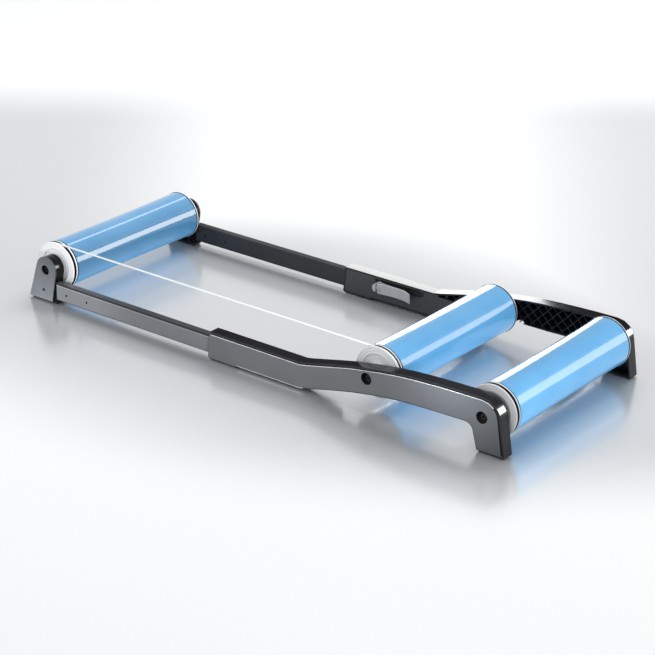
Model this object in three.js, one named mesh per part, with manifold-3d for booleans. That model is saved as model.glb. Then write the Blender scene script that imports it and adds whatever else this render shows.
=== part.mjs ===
// Retractable training rollers for a bicycle, in millimetres with +Z up.
// +X points from the single front drum to the drum pair. The rider faces -X, so -Y is the left side,
// which has the drive belt. The origin lies on the floor under the middle of the extended machine.
import * as THREE from 'three'
import { mergeVertices } from 'three/addons/utils/BufferGeometryUtils.js'
import Module from 'manifold-3d'

const wasm = await Module()
wasm.setup()

// Overall sizes
const lengthOverFeet = 1350
const widthOverArms = 516
const axleHeight = 80
const axleSetback = 56
const drumPairSpacing = 291
const armLength = 781
const barEngagement = 216
const barStandoff = 91

// Clearances
const seatGap = 0.3
const slideGap = 0.5
const bearingPlay = 0.1
const overrun = 5

// Drums
const drumSideGap = 9
const drumEndRadius = 57
const drumWaistRadius = 55
const drumWall = 2
const flangeRadius = 58
const pulleyCapWidth = 19
const pulleyFlangeWidth = 3.5
const grooveMouthWidth = 7.5
const grooveFloorWidth = 4.6
const plainCapWidth = 5.5
const pulleyShadowWidth = 4.5
const plainShadowWidth = 2.5
const shadowRingRadius = 55.5
const spigotLength = 10
const capRimWall = 6
const capWebWidth = 7
const capRimFaceWidth = 16
const capReliefDepth = 3
const capHubRadius = 21
const capHubInset = 1
const capChamfer = 2

// Drive belt
const beltDiameter = 4
const beltRunRadius = 54

// Bearings and axles
const bearingOuterRadius = 14
const bearingWidth = 8
const bearingInset = 2
const axleEndRadius = 6
const axleRadius = 8
const axleThreadRadius = 4.3
const axleThreadDepth = 22
const bossRadius = 9.5

// Axle screws and the recesses that reach them
const screwRadius = 4
const screwHeadRadius = 6.5
const screwHeadHeight = 8
const screwGrip = 18
const hexKeyWidth = 6
const hexKeyDepth = 4
const armRecessRadius = 13.5
const armRecessDepth = 15
const footRecessRadius = 12
const footRecessDepth = 13
const cupWall = 3
const cupFloor = 5

// Arms
const armWall = 4
const armEdgeRadius = 3
const sleeveLength = 254
const sleeveRoof = 10
const sleeveFloor = 8
const lipLength = 80
const lipDrop = 3.5
const mouthLean = 7
const armRise = 58
const crownCornerHeight = 40
const archMargin = 3
const archCornerRadius = 20
const rearFootLength = 67.5
const rearFootNeck = 77
const rearToeLean = 11.5
const passageEndMargin = 14
const latticePitch = 26
const latticeRib = 3.1
const latticeInset = 4
const latticeStart = 16
const shelfThickness = 3.5

// Clamp cover, shoe and lever
const coverThickness = 3
const coverLength = 350
const shoeThickness = 2.4
const pinRadius = 3
const pinHeadRadius = 4.7
const pinHeadHeight = 4
const pinStandoff = 8
const pinFromMouth = 108.5
const leverBottom = 30.5
const leverHeight = 25
const leverReach = 95
const leverHeadRadius = 7
const leverEdgeBevel = 1
const eyeHeight = 7.4
const eyeRadius = 6.2
const forkRadius = 8.8
const neckHalfWidth = 3.8
const knobRadius = 10
const knobProud = 15
const knobFromPin = 8.8
const pocketBack = 20.5
const pocketEndMargin = 26
const pocketRoofMargin = 2.5
const pocketDepthAtEnd = 15
const pocketCorner = 7
const camWindowBack = 9
const camWindowFront = 17
const camWindowMargin = 6.5
const shoeMargin = 4

// Sliding bars
const barWidth = 20
const barHeight = 43
const barBottom = 13
const barWall = 2
const barCorner = 2.5
const barPinRadius = 2.6
const barPinFirst = 31.5
const barPinSpacing = 65
const barPinDrop = 2.2
const barPinRecess = 2.5
const glideFlange = 3
const glideLength = 25

// Front feet
const footWidth = 29.5
const footArchRadius = 31.5
const footArchShift = 2.5
const footArchLift = 1.5
const footSoleLength = 74.5
const footPlateThickness = 4
const footPlateEdge = 1
const footBodyInset = 1.2
const footWall = 4
const footPocketDepth = 16
const tongueLength = 107
const tongueRootLength = 24
const footFlangeLength = 18
const footFlangeHeight = 5
const plateScrewRadius = 1.9
const plateScrewHeadRadius = 3.4
const plateScrewHeadHeight = 2
const plateScrewLength = 12
const plateScrewSetback = 8
const plateScrewHeight = 29

// Rubber pads
const padHeight = 4
const padInset = 4
const padToeInset = 9

// Facet counts
const drumFacets = 24
const drumStations = 5
const bearingFacets = 16
const screwFacets = 12
const holeFacets = 8
const hexFacets = 6
const beltFacets = 8
const beltTurnSteps = 16
const archSteps = 11
const crownSteps = 12
const cornerSteps = 4
const knobSteps = 6
const camSteps = 6
const footArchSteps = 12
const barCornerSteps = 2
const edgeSegments = 2

// Places along the machine, from the sizes above
const rearEndX = lengthOverFeet / 2
const frontEndX = -rearEndX
const rearAxleX = rearEndX - axleSetback
const frontAxleX = frontEndX + axleSetback
const middleAxleX = rearAxleX - drumPairSpacing
const mouthX = rearEndX - armLength
const sleeveEndX = mouthX + sleeveLength
const barFrontX = frontEndX + barStandoff
const barRearX = mouthX + barEngagement
const pinX = mouthX + pinFromMouth

// Places across the machine, as distances from its middle plane
const armOuterY = widthOverArms / 2
const barOuterY = armOuterY - armWall - slideGap
const barInnerY = barOuterY - barWidth
const shoeInnerY = barInnerY - seatGap - shoeThickness
const armInnerY = shoeInnerY - seatGap - coverThickness
const hollowOuterY = armOuterY - armWall
const drumFaceY = armInnerY - drumSideGap
const pinY = armInnerY - pinStandoff
const footOuterY = barOuterY
const footInnerY = footOuterY - footWidth
const footPlateInnerY = footOuterY - footPlateThickness
const footBodyOuterY = footPlateInnerY - seatGap

// Heights
const barTop = barBottom + barHeight
const passageTop = barTop + slideGap
const passageBottom = barBottom - slideGap
const sleeveTop = passageTop + sleeveRoof
const sleeveBottom = passageBottom - sleeveFloor
const crownTop = sleeveTop + armRise
const archTop = passageTop + archMargin
const leverTop = leverBottom + leverHeight
const leverMiddle = leverBottom + leverHeight / 2
const eyeBottom = leverMiddle - eyeHeight / 2
const eyeTop = leverMiddle + eyeHeight / 2

// Materials
const coat = (color, roughness, metalness) => (
  new THREE.MeshStandardMaterial({ color, roughness, metalness }))
const blackPlastic = coat('#15161a', 0.35, 0)
const darkPanel = coat('#42454a', 0.5, 0)
const greyPlate = coat('#8b929c', 0.4, 0.3)
const barSteel = coat('#7d8289', 0.4, 0.4)
const castSilver = coat('#9ca1a5', 0.4, 0.6)
const drumBlue = coat('#6aa2d2', 0.25, 0.1)
const capGrey = coat('#d1d6da', 0.4, 0)
const steel = coat('#b0b3b8', 0.3, 0.9)
const darkSteel = coat('#2a2c30', 0.4, 0.8)
const rubber = coat('#17181a', 0.9, 0)
const beltWhite = coat('#eef2f5', 0.3, 0)

// Solids: three.js geometry in and out of manifold-3d for cutting and joining
const toSolid = (geometry) => {
  const bare = geometry.index ? geometry : mergeVertices(geometry)
  const copy = bare.clone()
  copy.deleteAttribute('normal')
  copy.deleteAttribute('uv')
  const welded = mergeVertices(copy)
  return new wasm.Manifold(new wasm.Mesh({
    numProp: 3,
    vertProperties: new Float32Array(welded.attributes.position.array),
    triVerts: new Uint32Array(welded.index.array),
  }))
}

const toGeometry = (solid) => {
  const mesh = solid.getMesh()
  const geometry = new THREE.BufferGeometry()
  geometry.setAttribute('position', new THREE.BufferAttribute(new Float32Array(mesh.vertProperties), 3))
  geometry.setIndex(new THREE.BufferAttribute(new Uint32Array(mesh.triVerts), 1))
  geometry.computeVertexNormals()
  return geometry
}

const shapeSolid = (base, additions, cuts) => {
  let solid = toSolid(base)
  for (const addition of additions) solid = solid.add(toSolid(addition))
  for (const cut of cuts) solid = solid.subtract(toSolid(cut))
  return toGeometry(solid)
}

const common = (first, second) => toGeometry(toSolid(first).intersect(toSolid(second)))

// The left side is built, and the right side is its mirror image
const mirrored = (geometry) => {
  const copy = (geometry.index ? geometry.clone() : mergeVertices(geometry))
  copy.applyMatrix4(new THREE.Matrix4().makeScale(1, -1, 1))
  const flipped = copy.index.clone()
  for (let i = 0; i < flipped.count; i += 3) {
    const second = flipped.getX(i + 1)
    flipped.setX(i + 1, flipped.getX(i + 2))
    flipped.setX(i + 2, second)
  }
  copy.setIndex(flipped)
  return copy
}

const polygon = (points) => new THREE.Shape(points.map(([x, z]) => new THREE.Vector2(x, z)))

// A slab of an X-Z outline on the left side, between two distances from the middle plane
const sideSlab = (shape, innerY, outerY, bevel = 0) => {
  const geometry = new THREE.ExtrudeGeometry(shape, {
    depth: outerY - innerY - 2 * bevel,
    steps: 1,
    bevelEnabled: bevel > 0,
    bevelSegments: edgeSegments,
    bevelThickness: bevel,
    bevelSize: bevel,
    bevelOffset: -bevel,
  })
  return geometry.rotateX(Math.PI / 2).translate(0, -innerY - bevel, 0)
}

const box = (x0, x1, innerY, outerY, z0, z1) => {
  const geometry = new THREE.BoxGeometry(x1 - x0, outerY - innerY, z1 - z0)
  return geometry.translate((x0 + x1) / 2, -(innerY + outerY) / 2, (z0 + z1) / 2)
}

// A cylinder along Y on the left side
const crossCylinder = (radius, innerY, outerY, x, z, facets) => {
  const geometry = new THREE.CylinderGeometry(radius, radius, outerY - innerY, facets)
  return geometry.translate(x, -(innerY + outerY) / 2, z)
}

// An upright cylinder about the left lever's pin
const pinCylinder = (radius, z0, z1, facets) => {
  const geometry = new THREE.CylinderGeometry(radius, radius, z1 - z0, facets)
  return geometry.rotateX(Math.PI / 2).translate(pinX, -pinY, (z0 + z1) / 2)
}

// The corner radius of a faceted bore whose flats clear a round of the given radius
const boreRadius = (radius, facets) => radius / Math.cos(Math.PI / facets)

const pinBore = boreRadius(pinRadius + bearingPlay, holeFacets)

// A turned piece about the Y axis at a drum axis: profile points are radius and distance along Y
const turned = (profile, x, facets) => {
  const points = profile.map(([radius, y]) => new THREE.Vector2(radius, y))
  return new THREE.LatheGeometry(points, facets).translate(x, 0, axleHeight)
}

// An outline moved inward by a distance, corner by corner; the outline runs anticlockwise
const insetOutline = (points, distance) => points.map((point, i) => {
  const before = points[(i + points.length - 1) % points.length]
  const after = points[(i + 1) % points.length]
  const first = new THREE.Vector2(point[0] - before[0], point[1] - before[1]).normalize()
  const second = new THREE.Vector2(after[0] - point[0], after[1] - point[1]).normalize()
  const inwardSum = new THREE.Vector2(-first.y - second.y, first.x + second.x)
  const stretch = 2 * distance / inwardSum.lengthSq()
  return [point[0] + inwardSum.x * stretch, point[1] + inwardSum.y * stretch]
})

// Points on a circular arc between two angles in degrees
const arcPoints = (x, z, radius, fromDegrees, toDegrees, steps) => {
  const points = []
  for (let i = 0; i <= steps; i += 1) {
    const angle = THREE.MathUtils.degToRad(fromDegrees + (toDegrees - fromDegrees) * i / steps)
    points.push([x + radius * Math.cos(angle), z + radius * Math.sin(angle)])
  }
  return points
}

// A smooth run through a few points
const smoothPoints = (points, steps) => {
  const curve = new THREE.SplineCurve(points.map(([x, z]) => new THREE.Vector2(x, z)))
  return curve.getPoints(steps).map((point) => [point.x, point.y])
}

// The radius of a drum tube's outer face at a distance from the tube's middle
const tubeLength = 2 * drumFaceY - pulleyCapWidth - plainCapWidth
const tubeMiddleY = (pulleyCapWidth - plainCapWidth) / 2
const tubeRadius = (distance) => {
  const share = distance / (tubeLength / 2)
  return drumWaistRadius + (drumEndRadius - drumWaistRadius) * share * share
}
const spigotRadius = tubeRadius(tubeLength / 2 - spigotLength) - drumWall - seatGap

// Drum tube: a thin waisted metal tube, open at both ends
const drumTube = (x) => {
  const outer = []
  for (let i = 0; i < drumStations; i += 1) {
    const distance = tubeLength * (i / (drumStations - 1) - 1 / 2)
    outer.push([tubeRadius(distance), tubeMiddleY + distance])
  }
  const inner = outer.map(([radius, y]) => [radius - drumWall, y]).reverse()
  return turned([...outer, ...inner, outer[0]], x, drumFacets)
}

// Cap profile from the bearing bore round the outer face to the rim, by depth from the outer face
const capFaceProfile = () => {
  const bore = boreRadius(bearingOuterRadius + seatGap / 2, drumFacets)
  const reliefRadius = flangeRadius - capRimFaceWidth
  return [
    [bore, capHubInset],
    [capHubRadius, capHubInset],
    [capHubRadius + capChamfer, capReliefDepth],
    [reliefRadius - capChamfer, capReliefDepth],
    [reliefRadius, 0],
    [flangeRadius, 0],
  ]
}

// Cap profile from the shadow ring over the spigot and back along the web to the bearing bore
const capBackProfile = (visibleWidth, shadowWidth) => {
  const bore = boreRadius(bearingOuterRadius + seatGap / 2, drumFacets)
  const spigotEnd = visibleWidth + spigotLength
  return [
    [flangeRadius, visibleWidth - shadowWidth],
    [shadowRingRadius, visibleWidth - shadowWidth],
    [shadowRingRadius, visibleWidth],
    [spigotRadius, visibleWidth],
    [spigotRadius, spigotEnd],
    [spigotRadius - capRimWall, spigotEnd],
    [spigotRadius - capRimWall, capWebWidth],
    [capHubRadius, capWebWidth],
    [capHubRadius, bearingInset + bearingWidth + capHubInset],
    [bore, bearingInset + bearingWidth + capHubInset],
    [bore, capHubInset],
  ]
}

// Pulley cap: the left end of a drum, with the belt groove near its outer face
const grooveDepthPlace = pulleyFlangeWidth + grooveMouthWidth / 2
const grooveFloorRadius = beltRunRadius - beltDiameter / 2 - seatGap
const pulleyCap = (x) => {
  const groove = [
    [flangeRadius, pulleyFlangeWidth],
    [grooveFloorRadius, grooveDepthPlace - grooveFloorWidth / 2],
    [grooveFloorRadius, grooveDepthPlace + grooveFloorWidth / 2],
    [flangeRadius, pulleyFlangeWidth + grooveMouthWidth],
  ]
  const back = capBackProfile(pulleyCapWidth, pulleyShadowWidth)
  const profile = [...capFaceProfile(), ...groove, ...back]
  return turned(profile.map(([radius, depth]) => [radius, depth - drumFaceY]), x, drumFacets)
}

// Plain cap: the right end of a drum
const plainCap = (x) => {
  const profile = [...capFaceProfile(), ...capBackProfile(plainCapWidth, plainShadowWidth)]
  return turned(profile.map(([radius, depth]) => [radius, drumFaceY - depth]).reverse(), x, drumFacets)
}

// Ball bearing, closed by its shields, on the left end; the right one is its mirror image
const bearing = (x) => {
  const bore = boreRadius(axleEndRadius + bearingPlay, bearingFacets)
  const outerFace = bearingInset - drumFaceY
  const innerFace = outerFace + bearingWidth
  const profile = [[bore, outerFace], [bearingOuterRadius, outerFace], [bearingOuterRadius, innerFace]]
  return turned([...profile, [bore, innerFace], [bore, outerFace]], x, bearingFacets)
}

// Axle: thick between the bearings, tapped at both ends; endY is where its ends butt
const axle = (x, endY) => {
  const shoulderY = drumFaceY - bearingInset - bearingWidth - seatGap
  const threadBottomY = endY - axleThreadDepth
  const half = [
    [0, threadBottomY],
    [axleThreadRadius, threadBottomY],
    [axleThreadRadius, endY],
    [axleEndRadius, endY],
    [axleEndRadius, shoulderY],
    [axleRadius, shoulderY],
  ]
  const left = half.map(([radius, y]) => [radius, -y])
  return turned([...left, ...half.reverse()], x, bearingFacets)
}

// Socket-head screw along Y on the left side, with its head's underside at seatY
const socketScrew = (x, seatY) => {
  const topY = seatY + screwHeadHeight
  const shankEndY = seatY - cupFloor - screwGrip
  const profile = [[0, -topY], [screwHeadRadius, -topY], [screwHeadRadius, -seatY], [screwRadius, -seatY]]
  const body = turned([...profile, [screwRadius, -shankEndY], [0, -shankEndY]], x, screwFacets)
  const hexRadius = hexKeyWidth / Math.sqrt(3)
  const socket = crossCylinder(hexRadius, topY - hexKeyDepth, topY + overrun, x, axleHeight, hexFacets)
  return shapeSolid(body, [], [socket])
}

// Belt: a round cord ring round the grooves of the front and middle pulley caps
const driveBelt = () => {
  const grooveY = grooveDepthPlace - drumFaceY
  const rings = []
  const addTurn = (x, startDegrees) => {
    for (let i = 0; i <= beltTurnSteps; i += 1) {
      const angle = THREE.MathUtils.degToRad(startDegrees + 180 * i / beltTurnSteps)
      rings.push([x, new THREE.Vector2(Math.cos(angle), Math.sin(angle))])
    }
  }
  addTurn(frontAxleX, 90)
  addTurn(middleAxleX, 270)
  const positions = []
  for (const [x, outward] of rings) {
    for (let side = 0; side < beltFacets; side += 1) {
      const angle = 2 * Math.PI * side / beltFacets
      const reach = beltRunRadius + beltDiameter / 2 * Math.cos(angle)
      positions.push(x + outward.x * reach, grooveY + beltDiameter / 2 * Math.sin(angle))
      positions.push(axleHeight + outward.y * reach)
    }
  }
  const index = []
  for (let ring = 0; ring < rings.length; ring += 1) {
    for (let side = 0; side < beltFacets; side += 1) {
      const nextSide = (side + 1) % beltFacets
      const nextRing = (ring + 1) % rings.length
      const corner = ring * beltFacets + side
      const beside = ring * beltFacets + nextSide
      const ahead = nextRing * beltFacets + side
      const across = nextRing * beltFacets + nextSide
      index.push(corner, beside, ahead, beside, across, ahead)
    }
  }
  const geometry = new THREE.BufferGeometry()
  geometry.setAttribute('position', new THREE.Float32BufferAttribute(positions, 3))
  geometry.setIndex(index)
  geometry.computeVertexNormals()
  return geometry
}

// Arm outline, anticlockwise from the lip at the mouth: floor, arch, foot, crown, sleeve roof.
// The shares follow the run from the sleeve's end to the rear axle, and the rise above it.
const archRiseShares = [[0.03, 0.05], [0.115, 0.23], [0.2, 0.4], [0.287, 0.565], [0.37, 0.69]]
const archFlatShares = [[0.48, 0.84], [0.6, 0.92], [0.75, 0.97]]
const crownRiseShares = [[0.057, 0.09], [0.172, 0.31], [0.287, 0.52], [0.397, 0.67], [0.507, 0.8]]
const crownFlatShares = [[0.616, 0.89], [0.724, 0.94], [0.856, 0.985]]
const archFootX = rearEndX - rearFootNeck
const armRun = rearAxleX - sleeveEndX

const archPoints = () => {
  const shared = [...archRiseShares, ...archFlatShares]
  const archRise = archTop - sleeveBottom
  const run = shared.map(([along, up]) => [sleeveEndX + along * armRun, sleeveBottom + up * archRise])
  const archEnd = [archFootX - archCornerRadius, archTop]
  return smoothPoints([[sleeveEndX, sleeveBottom], ...run, archEnd], archSteps)
}

const crownPoints = () => {
  const shared = [...crownRiseShares, ...crownFlatShares]
  const run = shared.map(([along, up]) => [sleeveEndX + along * armRun, sleeveTop + up * armRise])
  return smoothPoints([[sleeveEndX, sleeveTop], ...run, [rearAxleX, crownTop]], crownSteps)
}

// The rounded back corner over the rear axle, then the foot's heel
const cornerPoints = () => {
  const heelX = rearEndX - rearToeLean
  const points = []
  for (let i = 1; i <= cornerSteps; i += 1) {
    const angle = Math.PI / 2 * (i / cornerSteps)
    const x = rearAxleX + (heelX - rearAxleX) * Math.sin(angle)
    points.push([x, crownTop - crownCornerHeight + crownCornerHeight * Math.cos(angle)])
  }
  return points
}

const archCornerPoints = arcPoints(
  archFootX - archCornerRadius, archTop - archCornerRadius, archCornerRadius, 90, 0, cornerSteps)
const armOutline = [
  [mouthX, sleeveBottom - lipDrop],
  [mouthX + lipLength, sleeveBottom - lipDrop],
  [mouthX + lipLength, sleeveBottom],
  ...archPoints(),
  ...archCornerPoints.slice(1),
  [rearEndX - rearFootLength, padHeight],
  [rearEndX, padHeight],
  ...cornerPoints().reverse(),
  ...crownPoints().reverse(),
  [mouthX, sleeveTop],
  [mouthX - mouthLean, sleeveBottom],
]

const passageEndX = rearEndX - rearFootNeck - passageEndMargin
const coverEndX = mouthX + coverLength
const shelfTop = passageTop + shelfThickness
const latticeX = sleeveEndX + latticeStart

// The cover closes the sleeve up to the shelf; beyond the sleeve the lattice shows above it
const coverRegion = (growth) => polygon([
  [mouthX - overrun, sleeveBottom - overrun],
  [coverEndX + growth, sleeveBottom - overrun],
  [coverEndX + growth, shelfTop - seatGap + growth],
  [latticeX + growth, shelfTop - seatGap + growth],
  [latticeX - latticeStart + growth, sleeveTop + overrun],
  [mouthX - overrun, sleeveTop + overrun],
])

// Lattice cells: above the shelf beside the cover, and the whole hollow beyond it
const latticeRegion = () => polygon([
  [latticeX, shelfTop],
  [coverEndX + seatGap, shelfTop],
  [coverEndX + seatGap, -overrun],
  [rearEndX + overrun, -overrun],
  [rearEndX + overrun, crownTop + overrun],
  [latticeX, crownTop + overrun],
])

const armHollow = () => {
  const outline = polygon(insetOutline(armOutline, armWall))
  const inner = sideSlab(outline, armInnerY - overrun, hollowOuterY)
  return common(inner, sideSlab(latticeRegion(), armInnerY - 2 * overrun, armOuterY))
}

// Crossed diagonal ribs inside the hollow, kept above the bar's passage
const latticeRibs = () => {
  const innerY = armInnerY + latticeInset
  const rootY = armOuterY - armWall / 2
  const rise = crownTop - passageTop
  const slanted = (bottomX, topX) => sideSlab(polygon([
    [bottomX, passageTop],
    [bottomX + latticeRib, passageTop],
    [topX + latticeRib, crownTop],
    [topX, crownTop],
  ]), innerY, rootY)
  const bars = []
  for (let x = latticeX - rise; x < passageEndX; x += latticePitch) {
    bars.push(slanted(x, x + rise))
    bars.push(slanted(x + rise, x))
  }
  const lattice = shapeSolid(bars[0], bars.slice(1), [])
  const reach = sideSlab(polygon(insetOutline(armOutline, armWall / 2)), innerY, rootY)
  const room = box(latticeX, passageEndX, innerY - overrun, armOuterY, passageTop, crownTop)
  return common(common(lattice, reach), room)
}

// Seat for an axle end: a cup open to the outside and a boss that reaches in to the bearing
const axleSeat = (x, outerY, cupOuterY, recessRadius, recessDepth) => {
  const floorOuterY = outerY - recessDepth
  const floorInnerY = floorOuterY - cupFloor
  const floorMiddleY = floorOuterY - cupFloor / 2
  const bossEndY = drumFaceY - bearingInset + seatGap
  const shankBore = boreRadius(screwRadius + seatGap, holeFacets)
  const axleBore = boreRadius(axleEndRadius + bearingPlay, bearingFacets)
  const round = (radius, fromY, toY, facets) => crossCylinder(radius, fromY, toY, x, axleHeight, facets)
  const cup = round(recessRadius + cupWall, floorInnerY, cupOuterY, bearingFacets)
  const boss = round(bossRadius, bossEndY, floorMiddleY, bearingFacets)
  const recess = round(recessRadius, floorOuterY, outerY + overrun, bearingFacets)
  const shankHole = round(shankBore, floorInnerY - overrun, floorOuterY + overrun, holeFacets)
  const axleHole = round(axleBore, bossEndY - overrun, floorInnerY, bearingFacets)
  return { solids: [cup, boss], holes: [recess, shankHole, axleHole], floorInnerY, floorOuterY }
}

const armCupY = armOuterY - armWall / 2
const middleSeat = axleSeat(middleAxleX, armOuterY, armCupY, armRecessRadius, armRecessDepth)
const rearSeat = axleSeat(rearAxleX, armOuterY, armCupY, armRecessRadius, armRecessDepth)
const frontSeat = axleSeat(frontAxleX, footOuterY, footBodyOuterY, footRecessRadius, footRecessDepth)

// Arm: a tray-shaped moulding, open inboard, with the bar's passage running through the sleeve
const arm = () => {
  const shell = sideSlab(polygon(armOutline), armInnerY - armWall, armOuterY, armEdgeRadius)
  const backTrim = box(frontEndX, rearEndX + overrun, armInnerY - armWall - overrun, armInnerY,
    -overrun, crownTop + overrun)
  const passage = box(mouthX - mouthLean - overrun, passageEndX, shoeInnerY, hollowOuterY,
    passageBottom, passageTop)
  const sidePassage = box(coverEndX, passageEndX, armInnerY - overrun, hollowOuterY,
    passageBottom, passageTop)
  const coverSeat = common(
    sideSlab(polygon(insetOutline(armOutline, armWall)), armInnerY - overrun, shoeInnerY),
    sideSlab(coverRegion(seatGap), armInnerY - 2 * overrun, shoeInnerY + overrun))
  const tray = shapeSolid(shell, [], [backTrim, armHollow(), coverSeat, passage, sidePassage])
  const additions = [latticeRibs(), ...middleSeat.solids, ...rearSeat.solids]
  return shapeSolid(tray, additions, [...middleSeat.holes, ...rearSeat.holes])
}

// Clamp cover: a flush panel over the sleeve with a finger pocket behind the lever
const pocketTop = sleeveTop - armWall - pocketRoofMargin
const pocketEndX = sleeveEndX - pocketEndMargin
const clampCover = () => {
  const coverOuterY = armInnerY + coverThickness
  const outline = sideSlab(polygon(insetOutline(armOutline, armWall + seatGap)), armInnerY, coverOuterY)
  const region = sideSlab(coverRegion(0), armInnerY - overrun, coverOuterY + overrun)
  const knobTop = leverMiddle + knobRadius + seatGap
  const pocketBottom = pocketTop - pocketDepthAtEnd
  const pocket = polygon([
    [pinX - pocketBack, knobTop],
    [pinX - camWindowBack, knobTop],
    [pinX - camWindowBack, eyeTop + seatGap],
    [pinX + camWindowFront, eyeTop + seatGap],
    [pinX + camWindowFront + pocketCorner, pocketBottom - pocketCorner / 2],
    [pocketEndX - 2 * pocketCorner, pocketBottom],
    [pocketEndX - pocketCorner / 2, pocketBottom + pocketCorner / 2],
    [pocketEndX, pocketBottom + pocketCorner],
    [pocketEndX, pocketTop],
    [pinX - pocketBack, pocketTop],
  ])
  const window = sideSlab(pocket, armInnerY - overrun, coverOuterY + overrun)
  const camWindow = box(pinX - camWindowBack, pinX + camWindowFront, armInnerY - overrun,
    coverOuterY + overrun, leverBottom - camWindowMargin, eyeBottom - seatGap)
  return shapeSolid(common(outline, region), [], [window, camWindow])
}

// Clamp shoe: a plate that the cam presses on the bar, with a pad under each cam cheek
const clampShoe = () => {
  const plateOuterY = barInnerY - seatGap
  const plate = box(pinX - pocketBack - shoeMargin, pocketEndX + shoeMargin, shoeInnerY, plateOuterY,
    leverBottom - camWindowMargin - shoeMargin, passageTop - seatGap)
  const padFaceY = pinY + pinStandoff + seatGap
  const padRootY = plateOuterY - shoeThickness / 2
  const padBack = pinX - camWindowBack + slideGap
  const padFront = pinX + camWindowBack
  const lowerPad = box(padBack, padFront, padFaceY, padRootY, leverBottom, eyeBottom - seatGap - slideGap)
  const upperPad = box(padBack, padFront, padFaceY, padRootY, eyeTop + seatGap + slideGap, leverTop)
  return shapeSolid(plate, [lowerPad, upperPad], [])
}

// Lever outline in plan, from the pin: along the arm, and inboard. The shares follow the lever's reach.
const leverTipShares = [[0.72, -0.008], [0.82, 0.02], [0.9, 0.06], [1, 0.13], [0.89, 0.087], [0.74, 0.051]]
const leverFrontShares = [[0.53, 0.03], [0.32, 0.038], [0.13, 0.063]]
const leverBackShares = [[0.13, -0.05], [0.32, -0.024], [0.53, -0.024]]

// Lever: a forked cam head about the upright pin and a curved grip that stands away at its end
const lever = () => {
  const place = ([along, inboard]) => [pinX + along * leverReach, inboard * leverReach - pinY]
  const head = []
  for (let i = 0; i <= camSteps; i += 1) {
    const turn = i / camSteps
    const angle = Math.PI / 2 + Math.PI * turn
    const radius = leverHeadRadius + (pinStandoff - leverHeadRadius) * turn
    head.push([pinX + radius * Math.cos(angle), radius * Math.sin(angle) - pinY])
  }
  const grip = [...leverBackShares, ...leverTipShares, ...leverFrontShares].map(place)
  const body = new THREE.ExtrudeGeometry(polygon([...head, ...grip]), {
    depth: leverHeight - 2 * leverEdgeBevel,
    steps: 1,
    bevelSegments: 1,
    bevelThickness: leverEdgeBevel,
    bevelSize: leverEdgeBevel,
    bevelOffset: -leverEdgeBevel,
  })
  body.translate(0, 0, leverBottom + leverEdgeBevel)
  const slot = pinCylinder(forkRadius, eyeBottom - seatGap, eyeTop + seatGap, bearingFacets)
  const bore = pinCylinder(pinBore, leverBottom - overrun, leverTop + overrun, holeFacets)
  return shapeSolid(body, [], [slot, bore])
}

// Lever bracket: a half-round knob on the cover whose eye holds the lever's pin
const leverBracket = () => {
  const knobX = pinX - knobFromPin
  const knobInnerY = armInnerY - knobProud
  const halfDisc = polygon(arcPoints(knobX, leverMiddle, knobRadius, 90, 270, knobSteps))
  const knob = sideSlab(halfDisc, knobInnerY, armInnerY - seatGap)
  const neckInnerY = pinY - neckHalfWidth
  const neck = box(knobX - knobRadius / 2, pinX, neckInnerY, pinY + neckHalfWidth, eyeBottom, eyeTop)
  const eye = pinCylinder(eyeRadius, eyeBottom, eyeTop, bearingFacets)
  const bore = pinCylinder(pinBore, leverBottom, leverTop, holeFacets)
  return shapeSolid(knob, [neck, eye], [bore])
}

// Lever pin: upright, with a round head above the lever
const leverPin = () => {
  const shankBottom = leverBottom + seatGap
  const headBottom = leverTop + seatGap
  const headTop = headBottom + pinHeadHeight
  const profile = [
    [0, shankBottom],
    [pinRadius, shankBottom],
    [pinRadius, headBottom],
    [pinHeadRadius, headBottom],
    [pinHeadRadius, headTop],
    [0, headTop],
  ]
  const points = profile.map(([radius, z]) => new THREE.Vector2(radius, z))
  return new THREE.LatheGeometry(points, holeFacets).rotateX(Math.PI / 2).translate(pinX, -pinY, 0)
}

// The bar's section in Y-Z on the left side, smaller by a margin, extruded along X
const barPrism = (margin, corner, x0, x1) => {
  const rightY = -barInnerY - margin - corner
  const leftY = -barOuterY + margin + corner
  const topZ = barTop - margin - corner
  const bottomZ = barBottom + margin + corner
  const shape = polygon([
    ...arcPoints(rightY, topZ, corner, 0, 90, barCornerSteps),
    ...arcPoints(leftY, topZ, corner, 90, 180, barCornerSteps),
    ...arcPoints(leftY, bottomZ, corner, 180, 270, barCornerSteps),
    ...arcPoints(rightY, bottomZ, corner, 270, 360, barCornerSteps),
  ])
  const geometry = new THREE.ExtrudeGeometry(shape, { depth: x1 - x0, steps: 1, bevelEnabled: false })
  const turn = new THREE.Matrix4().makeBasis(
    new THREE.Vector3(0, 1, 0), new THREE.Vector3(0, 0, 1), new THREE.Vector3(1, 0, 0))
  return geometry.applyMatrix4(turn).translate(x0, 0, 0)
}

const plugMargin = barWall + seatGap
const plugCorner = barCorner / 2
const barPinZ = barBottom + barHeight / 2 - barPinDrop
const barPinXs = [barFrontX + barPinFirst, barFrontX + barPinFirst + barPinSpacing]

const barPinHole = (x) => crossCylinder(boreRadius(barPinRadius + bearingPlay, holeFacets),
  barInnerY - overrun, barOuterY + overrun, x, barPinZ, holeFacets)

// Bar: a rectangular steel tube, open at both ends, with two cross holes near the front foot
const bar = () => {
  const outside = barPrism(0, barCorner, barFrontX, barRearX)
  const inside = barPrism(barWall, plugCorner, barFrontX - overrun, barRearX + overrun)
  return shapeSolid(outside, [], [inside, ...barPinXs.map(barPinHole)])
}

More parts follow.
